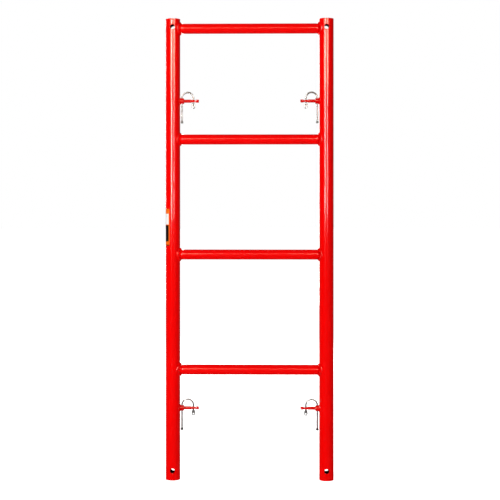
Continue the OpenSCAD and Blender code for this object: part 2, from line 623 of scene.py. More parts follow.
class Effects:
    """The node groups that the finishes share."""

    def __init__(self) -> None:
        """Builds each group once."""
        self.sprayed = self._sprayed()
        self.worn = self._worn()
        self.grime = self._grime()
        self.scratched = self._scratched()

    @staticmethod
    def _sprayed() -> Effect:
        """Fine peel and slow waves of sprayed enamel, as a height.

        Returns:
            The node group.
        """
        made = Effect("sprayed_film", {"Peel Scale": 520.0, "Wave Scale": 34.0, "Wave Share": 0.35},
                      {"Height": "NodeSocketFloat"})
        w = Wiring(made.tree)
        spot = w.stretched()
        peel = w.noise(spot, made.entry.outputs["Peel Scale"], 1.5, 0.45)
        wave = w.noise(spot, made.entry.outputs["Wave Scale"], 2.0, 0.5)
        share = made.entry.outputs["Wave Share"]
        total = w.math("ADD", w.math("MULTIPLY", peel, w.math("SUBTRACT", 1.0, share)),
                       w.math("MULTIPLY", wave, share))
        w.link(total, made.exit.inputs["Height"])
        return made

    @staticmethod
    def _worn() -> Effect:
        """Where handling has rubbed the rims, as a mask.

        Returns:
            The node group.
        """
        made = Effect("worn_rims", {"Amount": 0.5, "Scale": 420.0}, {"Mask": "NodeSocketFloat"})
        w = Wiring(made.tree)
        rim = w.attribute(RIM)
        chips = w.noise(w.stretched(), made.entry.outputs["Scale"], 3.0, 0.6)
        raised = w.math("ADD", w.math("MULTIPLY", rim, made.entry.outputs["Amount"]),
                        w.math("MULTIPLY", chips, 0.7))
        w.link(w.ramp(raised, 0.78, 0.92), made.exit.inputs["Mask"])
        return made

    @staticmethod
    def _grime() -> Effect:
        """Cloudy unevenness and small specks, as a mask and a speck mask.

        Returns:
            The node group.
        """
        made = Effect("uneven_film", {"Cloud Scale": 16.0, "Speck Scale": 900.0},
                      {"Clouds": "NodeSocketFloat", "Specks": "NodeSocketFloat"})
        w = Wiring(made.tree)
        spot = w.stretched((1.0, 1.0, 0.6))
        clouds = w.noise(spot, made.entry.outputs["Cloud Scale"], 4.0, 0.55)
        w.link(w.ramp(clouds, 0.3, 0.7), made.exit.inputs["Clouds"])
        specks = w.noise(spot, made.entry.outputs["Speck Scale"], 1.0, 0.3)
        w.link(w.ramp(specks, 0.70, 0.78), made.exit.inputs["Specks"])
        return made

    @staticmethod
    def _scratched() -> Effect:
        """Fine lines drawn along a length, as a mask.

        Returns:
            The node group.
        """
        made = Effect("drawn_lines", {"Scale": 260.0, "Cut": 0.62}, {"Mask": "NodeSocketFloat"})
        w = Wiring(made.tree)
        upright = w.noise(w.stretched((5.0, 5.0, 0.22)), made.entry.outputs["Scale"], 3.0, 0.6)
        level = w.noise(w.stretched((0.22, 5.0, 5.0)), made.entry.outputs["Scale"], 3.0, 0.6)
        deepest = w.math("MAXIMUM", upright, level)
        cut = made.entry.outputs["Cut"]
        w.link(w.ramp(deepest, cut, w.math("ADD", cut, 0.12)), made.exit.inputs["Mask"])
        return made


def new_material(name: str, **settings: float) -> tuple[bpy.types.Material, Wiring, bpy.types.Node]:
    """A fresh material with its Principled shader.

    Args:
        name: the material's name.
        settings: values that are the same all over, by the socket's name with _ for a space.

    Returns:
        The material, the wiring of its tree and its shader node.
    """
    made = bpy.data.materials.new(name)
    made.use_nodes = True
    shader = made.node_tree.nodes["Principled BSDF"]
    for label, value in {"IOR": ENAMEL_IOR, **settings}.items():
        shader.inputs[label.replace("_", " ")].default_value = value
    return made, Wiring(made.node_tree), shader


@dataclass(frozen=True)
class GlossEnamel:
    """Gloss enamel over steel: slight peel, slow waves, cloudy shade and rubbed rims.

    Rubbed rims show the steel, and the inside of a tube has no coat and is painted near-black: bare steel
    with painted shade on it.
    """

    name: str
    colour: Colour
    shade: Colour
    steel: Colour = (0.23, 0.19, 0.18)
    bare_inside_and_shade: Colour = (0.035, 0.02, 0.017)
    coat: float = 0.9
    roughness: float = 0.4
    gloss: float = 0.1
    peel: float = 0.05
    wave_share: float = 0.2
    wear: float = 0.38
    bump: float = 0.13

    def build(self, effects: Effects) -> bpy.types.Material:
        """Makes the material.

        Args:
            effects: the shared node groups.

        Returns:
            The finished material.
        """
        made, w, shader = new_material(self.name, Coat_Roughness=self.gloss, Specular_IOR_Level=0.0)
        film = w.place(effects.grime, Cloud_Scale=14.0, Speck_Scale=800.0)
        bare = w.place(effects.worn, Amount=self.wear).outputs["Mask"]
        lining = w.attribute(LINING)
        paint = w.mix(film.outputs["Clouds"], self.shade, self.colour)
        paint = w.mix(w.math("MULTIPLY", film.outputs["Specks"], 0.35), paint, self.shade)
        # Where the lining mark is set, the tube's inside is painted near-black: bare steel darkened as
        # painted shade.
        w.link(w.mix(lining, w.mix(bare, paint, self.steel), self.bare_inside_and_shade), shader.inputs["Base Color"])
        rough = w.ramp(film.outputs["Clouds"], 0.0, 1.0, self.roughness + 0.07, self.roughness - 0.03)
        w.link(w.math("ADD", rough, w.math("MULTIPLY", bare, 0.2)), shader.inputs["Roughness"])
        w.link(w.math("MULTIPLY", bare, 0.75), shader.inputs["Metallic"])
        coated = w.math("SUBTRACT", 1.0, w.math("MAXIMUM", bare, lining))
        w.link(w.math("MULTIPLY", coated, self.coat), shader.inputs["Coat Weight"])
        height = w.place(effects.sprayed, Wave_Share=self.wave_share).outputs["Height"]
        height = w.math("SUBTRACT", height, w.math("MULTIPLY", bare, 1.4))
        normal = w.bump(height, self.bump, self.peel * MM)
        w.link(normal, shader.inputs["Normal"])
        w.link(normal, shader.inputs["Coat Normal"])
        return made


@dataclass(frozen=True)
class ZincWire:
    """Zinc-plated drawn wire: mottled grey metal with fine lines and duller, darker flats."""

    name: str
    colour: Colour = (0.43, 0.42, 0.43)
    dull: Colour = (0.22, 0.21, 0.20)
    flat: Colour = (0.08, 0.08, 0.08)
    metallic: float = 0.65

    def build(self, effects: Effects) -> bpy.types.Material:
        """Makes the material.

        Args:
            effects: the shared node groups.

        Returns:
            The finished material.
        """
        made, w, shader = new_material(self.name, Metallic=self.metallic)
        film = w.place(effects.grime, Cloud_Scale=210.0, Speck_Scale=1500.0)
        lines = w.place(effects.scratched, Scale=300.0, Cut=0.56)
        worn = w.place(effects.worn, Amount=0.75, Scale=700.0)
        metal = w.mix(film.outputs["Clouds"], self.dull, self.colour)
        metal = w.mix(w.math("MULTIPLY", lines.outputs["Mask"], 0.4), metal, self.dull)
        w.link(w.mix(w.math("MULTIPLY", worn.outputs["Mask"], 0.8), metal, self.flat),
               shader.inputs["Base Color"])
        rough = w.ramp(film.outputs["Clouds"], 0.0, 1.0, 0.28, 0.16)
        w.link(w.math("ADD", rough, w.math("MULTIPLY", lines.outputs["Mask"], 0.14)),
               shader.inputs["Roughness"])
        height = w.math("ADD", film.outputs["Clouds"], lines.outputs["Mask"])
        w.link(w.bump(height, 0.35, 0.04 * MM), shader.inputs["Normal"])
        return made


@dataclass(frozen=True)
class PrintedFilm:
    """Printed vinyl: an orange ground with a white panel, a black panel and a dark foot line."""

    name: str
    ground: Colour = (0.86, 0.15, 0.004)
    black: Colour = (0.008, 0.003, 0.003)
    white: Colour = (0.87, 0.84, 0.81)
    dust: Colour = (0.2, 0.15, 0.12)
    margin: float = 0.06
    softness: float = 0.006

    def _between(self, w: Wiring, value: bpy.types.NodeSocket, low: float,
                 high: float) -> bpy.types.NodeSocket:
        """Makes a mask that is 1 between two values, with slightly soft edges.

        Args:
            w: the wiring to use.
            value: the value to test.
            low: the lower limit.
            high: the upper limit.

        Returns:
            The mask.
        """
        rise = w.ramp(value, low - self.softness, low + self.softness)
        fall = w.ramp(value, high - self.softness, high + self.softness, 1.0, 0.0)
        return w.math("MULTIPLY", rise, fall)

    def build(self, effects: Effects) -> bpy.types.Material:
        """Makes the material.

        Args:
            effects: the shared node groups.

        Returns:
            The finished material.
        """
        made, w, shader = new_material(self.name, Coat_Weight=0.06, Coat_Roughness=0.3,
                                       Specular_IOR_Level=0.15)
        up = w.attribute(PRINT_UP)
        film = w.place(effects.grime, Cloud_Scale=60.0, Speck_Scale=1800.0)
        inner = self._between(w, w.attribute(PRINT_ACROSS), self.margin, 1.0 - self.margin)
        colour = w.mix(w.math("MULTIPLY", film.outputs["Clouds"], 0.25), self.ground,
                       tuple(0.8 * c for c in self.ground))
        for band, ink, whole in ((Band.BLACK_PANEL, self.black, False),
                                 (Band.WHITE_PANEL, self.white, False),
                                 (Band.FOOT_LINE, self.black, True)):
            mask = self._between(w, up, *band.value)
            if not whole:
                mask = w.math("MULTIPLY", mask, inner)
            colour = w.mix(mask, colour, ink)
        colour = w.mix(w.math("MULTIPLY", film.outputs["Specks"], 0.12), colour, self.dust)
        w.link(colour, shader.inputs["Base Color"])
        w.link(w.ramp(film.outputs["Clouds"], 0.0, 1.0, 0.38, 0.3), shader.inputs["Roughness"])
        film = w.place(effects.sprayed, Peel_Scale=900.0, Wave_Scale=60.0, Wave_Share=0.7)
        w.link(w.bump(film.outputs["Height"], 0.3, 0.05 * MM), shader.inputs["Normal"])
        return made


@dataclass(frozen=True)
class FloorFinish:
    """A plain, pale, matt floor, lit for the eye alone so that it meets the surround without a seam."""

    name: str
    colour: Colour = (0.8, 0.8, 0.8)
    shade: Colour = (0.003, 0.003, 0.003)
    glow: float = 0.92
    mirrored_back: float = MIRRORED_BACK

    def build(self, effects: Effects) -> bpy.types.Material:
        """Makes the material.

        Args:
            effects: the shared node groups.

        Returns:
            The finished material.
        """
        made, w, shader = new_material(self.name, Roughness=0.9, Specular_IOR_Level=0.0)
        film = w.place(effects.grime, Cloud_Scale=1.5, Speck_Scale=200.0)
        path = w.node("ShaderNodeLightPath")
        heading = w.node("ShaderNodeSeparateXYZ")
        w.link(w.stretched(), heading.inputs["Vector"])
        mirrored = path.outputs["Is Glossy Ray"]
        behind = w.ramp(heading.outputs["Y"], -0.2, 0.5)
        seen = w.math("MAXIMUM", path.outputs["Is Camera Ray"],
                      w.math("MULTIPLY", mirrored, w.math("MULTIPLY", behind, self.mirrored_back)))
        lit = w.mix(film.outputs["Clouds"], self.colour, tuple(0.99 * c for c in self.colour))
        w.link(w.mix(mirrored, lit, self.shade), shader.inputs["Base Color"])
        shader.inputs["Emission Color"].default_value = (*WHITE, 1.0)
        w.link(w.math("MULTIPLY", seen, self.glow), shader.inputs["Emission Strength"])
        made.cycles.emission_sampling = "NONE"
        return made


@dataclass(frozen=True)
class Finishes:
    """Every finish of the end frame, built and ready to use."""

    leg: bpy.types.Material
    rung: bpy.types.Material
    weld: bpy.types.Material
    stud: bpy.types.Material
    wire: dict[Level, bpy.types.Material]
    label: bpy.types.Material
    floor: bpy.types.Material

    @classmethod
    def mixed_up(cls) -> "Finishes":
        """Builds the shared effects and then each finish.

        Returns:
            The finishes.
        """
        effects = Effects()
        red, deep = (0.88, 0.0004, 0.0003), (0.845, 0.0004, 0.0003)
        return cls(
            leg=GlossEnamel("leg_enamel", red, deep).build(effects),
            rung=GlossEnamel("rung_enamel", red, deep, gloss=0.12).build(effects),
            weld=GlossEnamel("weld_enamel", (0.82, 0.0005, 0.0004), (0.72, 0.0004, 0.0003), gloss=0.15,
                             peel=0.12, wear=0.1).build(effects),
            # The stud's enamel is the legs' red painted darker as shade.
            stud=GlossEnamel("stud_enamel_painted_shade", (0.74, 0.0006, 0.0005), (0.58, 0.0004, 0.0004), gloss=0.15,
                             peel=0.08, wear=0.42).build(effects),
            # Lit and shaded copies of one zinc: the upper locks are painted darker as shade, the lower ones
            # lighter as painted reflection.
            wire={
                Level.UPPER: ZincWire("zinc_wire_upper_painted_shade", (0.36, 0.37, 0.39), (0.13, 0.13, 0.13),
                                      metallic=0.9).build(effects),
                Level.LOWER: ZincWire("zinc_wire_lower").build(effects),
            },
            label=PrintedFilm("printed_film").build(effects),
            floor=FloorFinish("floor_matt").build(effects),
        )


# ---------------------------------------------------------------------------------------------
# Sub-assemblies
# ---------------------------------------------------------------------------------------------


@dataclass(frozen=True)
class FrameSizes:
    """Sizes and places that several pieces share, in metres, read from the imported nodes."""

    leg_x: float
    leg_r: float
    height: float
    rung_r: float
    rung_heights: tuple[float, ...]
    stud_heights: dict[Level, float]

    @classmethod
    def measured(cls) -> "FrameSizes":
        """Reads the sizes from the boxes of the legs, the rungs and the studs.

        Returns:
            The sizes.
        """
        low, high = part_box("right_leg")
        rungs = [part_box(f"rung_{k}") for k in range(1, 5)]
        studs = {level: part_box(f"stud_{level.value}_left") for level in Level}
        return cls(
            leg_x=(low[0] + high[0]) / 2,
            leg_r=(high[0] - low[0]) / 2,
            height=high[2] - low[2],
            rung_r=(rungs[0][1][2] - rungs[0][0][2]) / 2,
            rung_heights=tuple((a[2] + b[2]) / 2 for a, b in rungs),
            stud_heights={level: (a[2] + b[2]) / 2 for level, (a, b) in studs.items()},
        )

    def saddle(self, across: float) -> float:
        """Distance of a leg's surface from its centre line, at a distance across from it."""
        return math.sqrt(max(self.leg_r**2 - across**2, 0.0))


@dataclass
class Piece(ABC):
    """A visible piece of the end frame: it shapes and dresses itself, and stands for one node."""

    form: ClassVar[str]
    slot: ClassVar[str]
    sizes: FrameSizes

    @property
    @abstractmethod
    def node(self) -> str:
        """The frame's node that the piece stands for."""

    @property
    def body(self) -> str:
        """The body that carries the piece."""
        return "frame"

    @abstractmethod
    def finish(self, finishes: Finishes) -> bpy.types.Material:
        """The piece's own finish."""

    @abstractmethod
    def shape(self, mesh: bmesh.types.BMesh) -> None:
        """Builds the piece's surface in an empty mesh."""

    def build(self, finishes: Finishes) -> bpy.types.Object:
        """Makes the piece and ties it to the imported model.

        Args:
            finishes: the built finishes.

        Returns:
            The piece's object.
        """
        mesh = bmesh.new()
        self.shape(mesh)
        piece = finished(mesh, f"{self.node}_{self.form}", self.finish(finishes))
        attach(piece, self.body)
        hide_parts(self.node)
        LOG.info("%s: %d faces, stands for %s on %s", piece.name, len(piece.data.polygons),
                 self.node, self.body)
        return piece


@dataclass
class Leg(Piece):
    """A leg: an open tube with softened rims and a cross hole near each end."""

    form = "tube"
    slot = "leg_paint"
    side: Side
    wall: float = 2.4 * MM
    hole_r: float = 7.15 * MM
    hole_drop: float = 25.4 * MM
    hole_rise: float = 28.6 * MM
    columns: int = 96

    @property
    def node(self) -> str:
        """The leg on its own side."""
        return f"{self.side.word}_leg"

    def finish(self, finishes: Finishes) -> bpy.types.Material:
        """Leg enamel."""
        return finishes.leg

    def _holes(self) -> list[Hole]:
        """Places the cross holes.

        Returns:
            The lower hole and the upper one.
        """
        return [Hole(at, self.hole_r, self.hole_r, corner=self.hole_r, rim=0.35 * MM,
                     patch_length=11 * MM, patch_columns=8)
                for at in (self.hole_rise, self.sizes.height - self.hole_drop)]

    def shape(self, mesh: bmesh.types.BMesh) -> None:
        """Builds both walls, joined at the ends and through the holes.

        Args:
            mesh: the empty mesh.
        """
        outer, inner, top = self.sizes.leg_r, self.sizes.leg_r - self.wall, self.sizes.height
        middle_x = self.side.value * self.sizes.leg_x

        def place(along: float, across: float, depth: float) -> Vector:
            """A point of the leg from its height, its place across and its depth."""
            return Vector((middle_x + across, depth, along))

        def tube(radius: float, soft: float, turn: int) -> list[Ring]:
            """Makes the rings of one wall.

            Args:
                radius: the wall's radius.
                soft: how far its rims are rounded.
                turn: 1 to round them inwards, -1 to round them outwards.

            Returns:
                The rings, from the foot to the top.
            """
            ends = [(0.0, soft), (0.3 * soft, 0.3 * soft), (soft, 0.0)]
            rings = [Ring(a, radius - turn * b, radius - turn * b, rim=1.0) for a, b in ends]
            rings += [Ring(2 * MM, radius, radius, rim=0.35), Ring(5 * MM, radius, radius)]
            return rings + [Ring(top - r.along, r.half_width, r.half_depth, rim=r.rim)
                            for r in reversed(rings)]

        # The inside wall gets the lining mark, where the enamel paints the bare steel near-black as shade.
        mesh.verts.layers.float.new(LINING)
        holes = self._holes()
        outside, inside = (Skin(mesh, spaced(rings, 40 * MM, holes), self.columns, place, holes)
                           for rings in (tube(outer, 0.45 * MM, 1), tube(inner, 0.2 * MM, -1)))
        lining = mesh.verts.layers.float[LINING]
        for vert in list(mesh.verts)[len(mesh.verts) - inside.count:]:
            vert[lining] = 1.0
        for key, loop in outside.edges.items():
            bridge(mesh, loop, inside.edges[key])
        for index in (0, -1):
            bridge(mesh, outside.end(index), inside.end(index))


@dataclass
class Rung(Piece):
    """A rung: a tube whose ends are cut to sit on the legs."""

    form = "tube"
    slot = "rung_paint"
    number: int
    wall: float = 2.1 * MM
    sunk: float = 0.2 * MM
    columns: int = 72
    rings: int = 30

    @property
    def node(self) -> str:
        """The rung with this number, from the foot up."""
        return f"rung_{self.number}"

    def finish(self, finishes: Finishes) -> bpy.types.Material:
        """Rung enamel."""
        return finishes.rung

    def shape(self, mesh: bmesh.types.BMesh) -> None:
        """Builds both walls, joined at the ends.

        Args:
            mesh: the empty mesh.
        """
        height = self.sizes.rung_heights[self.number - 1]

        def shell(radius: float) -> list[list[bmesh.types.BMVert]]:
            """Builds the vertices of one wall.

            Args:
                radius: the wall's radius.

            Returns:
                The wall's loops, from the left leg's surface to the right leg's.
            """
            loops = []
            for k in range(self.rings + 1):
                share = 2 * k / self.rings - 1
                loop = []
                for j in range(self.columns):
                    turn = 2 * math.pi * j / self.columns
                    depth = radius * math.sin(turn)
                    reach = self.sizes.leg_x - self.sizes.saddle(depth) + self.sunk
                    loop.append(mesh.verts.new((share * reach, depth, height + radius * math.cos(turn))))
                loops.append(loop)
            return loops

        outer, inner = shell(self.sizes.rung_r), shell(self.sizes.rung_r - self.wall)
        for wall in (outer, inner):
            for one, other in zip(wall, wall[1:]):
                bridge(mesh, one, other)
        for end in (0, -1):
            bridge(mesh, outer[end], inner[end])


@dataclass
class WeldRun(Piece):
    """A rippled weld run round a bar's end on a leg, following the saddle line.

    Its reach from the saddle line is a share of its size: a mean reach that wanders slowly and
    finely round the bar, with ripples, and with a hollow half-way between its toes.
    """

    form = "run"
    slot = "weld_paint"
    side: Side
    height: float
    bar_r: float
    size: float
    title: str
    pitch: float = 2.6 * MM
    ripple: float = 0.055
    ripple_bow: float = 0.75
    crest_at: float = 0.36
    mean_reach: float = 0.93
    slow_wander: float = 0.05
    fine_wander: float = 0.03
    hollow: float = 0.12
    around: int = 300
    section: int = 9
    sunk: float = 0.25 * MM
    clear: float = 0.05 * MM

    @property
    def node(self) -> str:
        """The weld run with this title."""
        return self.title

    def finish(self, finishes: Finishes) -> bpy.types.Material:
        """Weld enamel."""
        return finishes.weld

    def _on_leg(self, point: Vector, lift: float) -> Vector:
        """The point's shadow on the leg's surface, lifted from it."""
        flat = Vector((point.x, point.y, 0.0)).normalized() * (self.sizes.leg_r + lift)
        return Vector((flat.x, flat.y, point.z))

    def _point(self, turn: float, part: float, ripples: int) -> Vector:
        """A point of the run, from the leg's centre line at the bar's height.

        Args:
            turn: the angle round the bar, from straight up.
            part: 0 at the toe on the bar, 1 at the toe on the leg.
            ripples: how many ripples go round the bar.

        Returns:
            The point, with the bar pointing along +X.
        """
        sin, cos = math.sin(turn), math.cos(turn)
        root_x = self.sizes.saddle(self.bar_r * sin)
        root = Vector((root_x, self.bar_r * sin, self.bar_r * cos))
        out = Vector((root_x, self.bar_r * sin, 0.0)).normalized()
        away = Vector((0.0, sin, cos))
        away = (away - out * away.dot(out)).normalized()
        lean = part * math.pi / 2
        arch = math.sin(math.pi * part)
        wave = (turn * ripples / (2 * math.pi) - self.ripple_bow * arch) % 1.0
        crest = max(0.0, 1.0 - 2.0 * abs(wave - self.crest_at))
        wander = self.slow_wander * math.sin(3 * turn + self.height * 40)
        wander += self.fine_wander * math.sin(7 * turn + 1.3)
        reach = self.size * (self.mean_reach + wander + self.ripple * crest * max(arch, 0.0) ** 0.5)
        reach *= 1.0 - self.hollow * math.sin(2 * lean)
        point = root + (Vector((1.0, 0.0, 0.0)) * math.cos(lean) + away * math.sin(lean)) * reach
        if part <= 0.0:
            spoke = Vector((0.0, point.y, point.z)).normalized() * (self.bar_r - self.sunk)
            return Vector((point.x, spoke.y, spoke.z))
        if part >= 1.0:
            return self._on_leg(point, -self.sunk)
        if math.hypot(point.x, point.y) < self.sizes.leg_r + self.clear:
            return self._on_leg(point, self.clear)
        return point

    def shape(self, mesh: bmesh.types.BMesh) -> None:
        """Builds the run as a closed ring of sections.

        Args:
            mesh: the empty mesh.
        """
        mesh.verts.layers.float.new(RIM)
        ripples = round(2 * math.pi * self.bar_r / self.pitch)
        middle = Vector((self.side.value * self.sizes.leg_x, 0.0, self.height))
        loops = []
        for k in range(self.around):
            turn = 2 * math.pi * k / self.around
            points = [self._point(turn, s / self.section, ripples) for s in range(self.section + 1)]
            inner_r = self.bar_r - self.sunk
            points.append(Vector((self.sizes.saddle(self.bar_r * math.sin(turn)) - self.sunk,
                                  inner_r * math.sin(turn), inner_r * math.cos(turn))))
            loops.append([mesh.verts.new(middle + Vector((-self.side.value * p.x, p.y, p.z)))
                          for p in points])
        for one, other in zip(loops, loops[1:] + loops[:1]):
            bridge(mesh, one, other)


@dataclass
class BraceStud(Piece):
    """A brace stud: a collar with a guide hole, a shank, a slot, a shallow waist and a head."""

    form = "pin"
    slot = "stud_paint"
    side: Side
    level: Level
    shank_r: float = 4.75 * MM
    collar_r: float = 8.5 * MM
    collar_length: float = 11.5 * MM
    length: float = 56 * MM
    guide_at: float = 5.6 * MM
    slot_at: float = 39.6 * MM
    slot_half: float = 6.5 * MM
    bore_half: float = 2.8 * MM
    slot_step: float = 0.2 * MM
    waist: float = 0.5 * MM
    columns: int = 64

    @property
    def node(self) -> str:
        """The stud at this level and side."""
        return f"stud_{self.level.value}_{self.side.word}"

    def finish(self, finishes: Finishes) -> bpy.types.Material:
        """Stud enamel, painted darker than the legs' as shade."""
        return finishes.stud

    def _rings(self) -> list[Ring]:
        """Lays out the key rings.

        Returns:
            The rings, from the leg's surface to the tip.
        """
        r, c, waist_at = self.shank_r, self.collar_r, self.slot_at + 5 * MM
        slim, slot_from = r - self.slot_step, self.slot_at - self.slot_half

        def round_ring(along: float, radius: float, rim: float = 0.0) -> Ring:
            """A round ring."""
            return Ring(along, radius, radius, rim=rim)

        return [
            round_ring(-0.4 * MM, c),
            round_ring(0.8 * MM, c),
            round_ring(self.collar_length - 0.9 * MM, c, 0.5),
            round_ring(self.collar_length - 0.45 * MM, c - 0.12 * MM, 1.0),
            round_ring(self.collar_length - 0.12 * MM, c - 0.45 * MM, 1.0),
            round_ring(self.collar_length, c - 0.95 * MM, 0.5),
            round_ring(self.collar_length + 0.001 * MM, r + 0.7 * MM),
            round_ring(self.collar_length + 0.2 * MM, r + 0.2 * MM),
            round_ring(self.collar_length + 0.75 * MM, r),
            round_ring(slot_from - 0.6 * MM, r),
            round_ring(slot_from, slim, 0.2),
            round_ring(waist_at - 5.5 * MM, slim),
            round_ring(waist_at - 3.6 * MM, slim - self.waist * 0.35),
            round_ring(waist_at - 1.5 * MM, slim - self.waist),
            round_ring(waist_at + 1.5 * MM, slim - self.waist),
            round_ring(waist_at + 3.6 * MM, slim - self.waist * 0.35, 0.3),
            round_ring(waist_at + 5.5 * MM, slim, 0.5),
            round_ring(self.length - 0.9 * MM, slim, 0.6),
            round_ring(self.length - 0.35 * MM, slim - 0.3 * MM, 1.0),
            round_ring(self.length, slim - 0.95 * MM, 1.0),
            round_ring(self.length + 0.001 * MM, slim * 0.4, 0.2),
        ]

    def shape(self, mesh: bmesh.types.BMesh) -> None:
        """Builds the stud round its axis and drills the guide hole and the slot.

        Args:
            mesh: the empty mesh.
        """
        height = self.sizes.stud_heights[self.level]
        sign, sizes = self.side.value, self.sizes

        def place(along: float, across: float, depth: float) -> Vector:
            """A point of the stud; its root follows the leg's surface."""
            out = along + (sizes.leg_r if along >= 0 else sizes.saddle(across))
            return Vector((sign * (sizes.leg_x - out), across, height + depth))

        holes = [Hole(self.guide_at, self.bore_half, self.bore_half, corner=self.bore_half,
                      rim=0.3 * MM, patch_length=4.1 * MM, patch_columns=6),
                 Hole(self.slot_at, self.slot_half, self.bore_half, corner=1.0 * MM,
                      rim=0.25 * MM, patch_length=8.4 * MM, patch_columns=10)]
        rings = spaced(self._rings(), 2.0 * MM, holes, patch_rings=18)
        skin = Skin(mesh, rings, self.columns, place, holes)
        skin.wall_holes()
        skin.close()


@dataclass
class DropLock(Piece):
    """A drop lock: one wire from its flattened foot, up and over the bend, to its holed tip."""

    form = "wire"
    slot = "lock_zinc"
    side: Side
    level: Level
    wire_r: float = 2.4 * MM
    strand_at: float = 5.6 * MM
    spacing: float = 34 * MM
    bend_rise: float = 8.8 * MM
    foot_drop: float = 66.4 * MM
    tip_drop: float = 22.5 * MM
    tip_half: float = 5.1 * MM
    foot_half: float = 4.0 * MM
    flat_half: float = 1.6 * MM
    tip_hole_r: float = 2.2 * MM
    columns: int = 48

    @property
    def node(self) -> str:
        """The lock at this level and side."""
        return f"lock_{self.level.value}_{self.side.word}"

    def finish(self, finishes: Finishes) -> bpy.types.Material:
        """Zinc plating, in its darker copy as painted shade on the upper locks and its lighter copy as
        painted reflection on the lower ones.
        """
        return finishes.wire[self.level]

    @property
    def body(self) -> str:
        """The body that slides up and down with this lock."""
        return f"{self.level.value}_{self.side.word}_lock"

    @property
    def rise(self) -> float:
        """Length of the long strand, from the foot's end to the start of the bend."""
        return self.foot_drop + self.bend_rise

    @property
    def bend(self) -> float:
        """Length of the half-round bend along its middle."""
        return math.pi * self.spacing / 2

    @property
    def total(self) -> float:
        """Length of the wire from the foot's end to the tip's end."""
        return self.rise + self.bend + self.bend_rise + self.tip_drop

    def _rings(self) -> list[Ring]:
        """Lays out the key rings.

        Returns:
            The rings, from the foot's end to the tip's end.
        """
        r, foot, flat, tip = self.wire_r, self.foot_half, self.flat_half, self.tip_half
        rings = [
            Ring(0.0, foot * 0.52, flat * 0.45, 2.4, 0.8),
            Ring(0.25 * MM, foot * 0.68, flat * 0.78, 2.6, 1.0),
            Ring(0.9 * MM, foot * 0.9, flat * 0.97, 2.8, 1.0),
            Ring(1.8 * MM, foot, flat, 3.0, 0.9),
            Ring(4.8 * MM, foot, flat, 3.0, 0.8),
            Ring(6.0 * MM, foot * 0.84, flat * 1.12, 2.6, 0.5),
            Ring(7.4 * MM, r * 1.04, r * 0.94, 2.1, 0.1),
            Ring(9.5 * MM, r, r),
            Ring(self.rise, r, r),
            Ring(self.rise + self.bend, r, r),
        ]
        end, press = self.total, self.total - self.tip_drop
        rings += [
            Ring(press + 4.2 * MM, r, r),
            Ring(press + 6.4 * MM, r * 1.35, r * 0.86, 2.3, 0.1),
            Ring(press + 9.2 * MM, tip * 0.97, flat * 1.08, 2.8, 0.4),
            Ring(press + 10.4 * MM, tip, flat, 3.0, 0.5),
            Ring(end - tip, tip, flat, 3.0, 0.6),
        ]
        for share in (0.2, 0.38, 0.54, 0.68, 0.79, 0.87, 0.93, 0.97, 0.99):
            thin = 1.0 if share < 0.8 else math.sqrt(max(0.0, 1.0 - ((share - 0.8) / 0.215) ** 2))
            rings.append(Ring(end - tip + tip * share, tip * math.sqrt(1 - share**2),
                              flat * (0.35 + 0.65 * thin), 3.0, 0.9))
        return rings

    def shape(self, mesh: bmesh.types.BMesh) -> None:
        """Builds the wire along its bent middle line and drills the tip.

        Args:
            mesh: the empty mesh.
        """
        height = self.sizes.stud_heights[self.level]
        sign, sizes, half = self.side.value, self.sizes, self.spacing / 2

        def place(along: float, across: float, depth: float) -> Vector:
            """Bends the wire.

            Args:
                along: the point's place along the wire.
                across: its distance across it, away from the bend's middle.
                depth: its distance towards the back.

            Returns:
                The point in the frame.
            """
            if along <= self.rise:
                out, up = self.strand_at - across, along - self.foot_drop
            elif along <= self.rise + self.bend:
                turn = (along - self.rise) / half
                reach = half + across
                out = self.strand_at + half - reach * math.cos(turn)
                up = self.bend_rise + reach * math.sin(turn)
            else:
                out = self.strand_at + self.spacing + across
                up = self.bend_rise - (along - self.rise - self.bend)
            return Vector((sign * (sizes.leg_x - sizes.leg_r - out), depth, height + up))

        hole = Hole(self.total - self.tip_half, self.tip_hole_r, self.tip_hole_r,
                    corner=self.tip_hole_r, rim=0.3 * MM, patch_length=4.0 * MM, patch_columns=4)
        rings = spaced(self._rings(), 1.6 * MM, [hole], patch_rings=14)
        skin = Skin(mesh, rings, self.columns, place, [hole])
        skin.wall_holes()
        skin.close()


